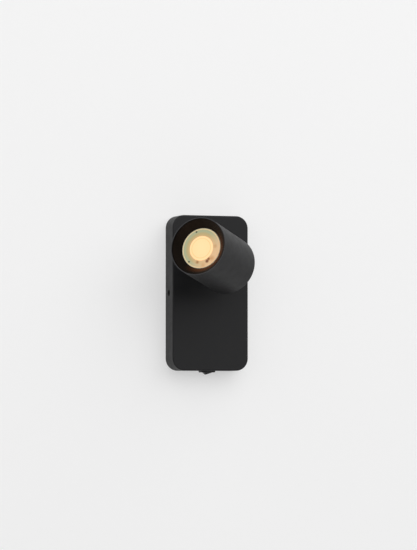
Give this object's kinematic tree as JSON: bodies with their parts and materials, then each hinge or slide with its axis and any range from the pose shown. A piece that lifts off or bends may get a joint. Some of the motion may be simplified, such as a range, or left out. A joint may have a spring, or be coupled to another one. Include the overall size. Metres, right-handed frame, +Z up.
{
  "type": "pivoting spotlight wall light",
  "caption": "Wall light with a shallow rounded rectangular box, a cylindrical spotlight head that swivels and tilts on a short stem, and a rocker switch on its lower face",
  "frame": {"origin": "the middle of the two wall fixing slots, which is the middle of the cover on the wall plane", "axes": "+Z up, +X to the right as seen from the room, the wall is Y = 0 and the light stands out toward -Y"},
  "size_m": [0.1248, 0.145, 0.1947],
  "materials": {
    "black_powder_coat": "matte",
    "black_screws": "satin",
    "zinc_plated_steel": "satin",
    "brass": "satin",
    "steatite": "matte",
    "black_nylon": "matte",
    "natural_nylon": "matte",
    "black_rubber": "matte",
    "white_moulding": "satin",
    "lamp_white": "satin",
    "lamp_ring_grey": "satin",
    "lamp_lens": "satin",
    "circuit_board": "satin",
    "sleeve_brown": "satin",
    "sleeve_blue": "satin",
    "sleeve_green_yellow": "satin",
    "sleeve_silicone": "matte"
  },
  "bodies": {
    "fixture": {"cover": "black_powder_coat", "wall_bracket": "zinc_plated_steel", "cover_screws": "black_screws", "cable_grommet": "black_rubber", "terminal_block": "white_moulding", "terminal_sleeves": "brass", "terminal_screws": "zinc_plated_steel", "block_screw": "zinc_plated_steel", "earth_screw": "brass", "switch_housing": "black_nylon", "switch_tabs": "brass", "swivel_washer": "black_nylon", "friction_washer": "natural_nylon", "live_lead": "sleeve_brown", "switched_lead": "sleeve_brown", "neutral_lead": "sleeve_blue", "earth_lead": "sleeve_green_yellow"},
    "swivel": {"swivel_stem": "black_powder_coat", "stop_washer": "zinc_plated_steel", "wave_washer": "zinc_plated_steel", "lock_nut": "zinc_plated_steel", "stem_leads": "sleeve_silicone"},
    "head": {"head_shell": "black_powder_coat", "rear_cap": "black_powder_coat", "pivot_bracket": "zinc_plated_steel", "pivot_screw": "zinc_plated_steel", "pivot_nut": "zinc_plated_steel", "pivot_washers": "natural_nylon", "rear_cap_screws": "black_screws", "lampholder_saddle": "zinc_plated_steel", "lampholder": "steatite", "lampholder_screws": "zinc_plated_steel", "front_baffle": "black_powder_coat", "head_leads": "sleeve_silicone"},
    "lamp": {"lamp_body": "lamp_white", "lamp_pins": "zinc_plated_steel", "lamp_front_ring": "lamp_ring_grey", "lamp_lens": "lamp_lens", "light_board": "circuit_board"},
    "rocker": {"rocker": "black_nylon"}
  },
  "joints": [
    {"name": "swivel", "type": "hinge", "parent": "fixture", "child": "swivel", "pos_m": [0, -0.0265, 0.0362], "axis": [0, 1, 0], "range_deg": [-166, 166]},
    {"name": "tilt", "type": "hinge", "parent": "swivel", "child": "head", "pos_m": [0, -0.059, 0.0362], "axis": [-0.304, 0, -0.9527], "range_deg": [-45.8, 44.2]},
    {"name": "lamp_turn", "type": "hinge", "parent": "head", "child": "lamp", "pos_m": [0.01237, -0.056, 0.03225], "axis": [-0.683, -0.6972, 0.218], "range_deg": [0, 25]},
    {"name": "rocker_press", "type": "hinge", "parent": "fixture", "child": "rocker", "pos_m": [0, -0.01325, -0.09], "axis": [0, -1, 0], "range_deg": [0, 26]}
  ]
}
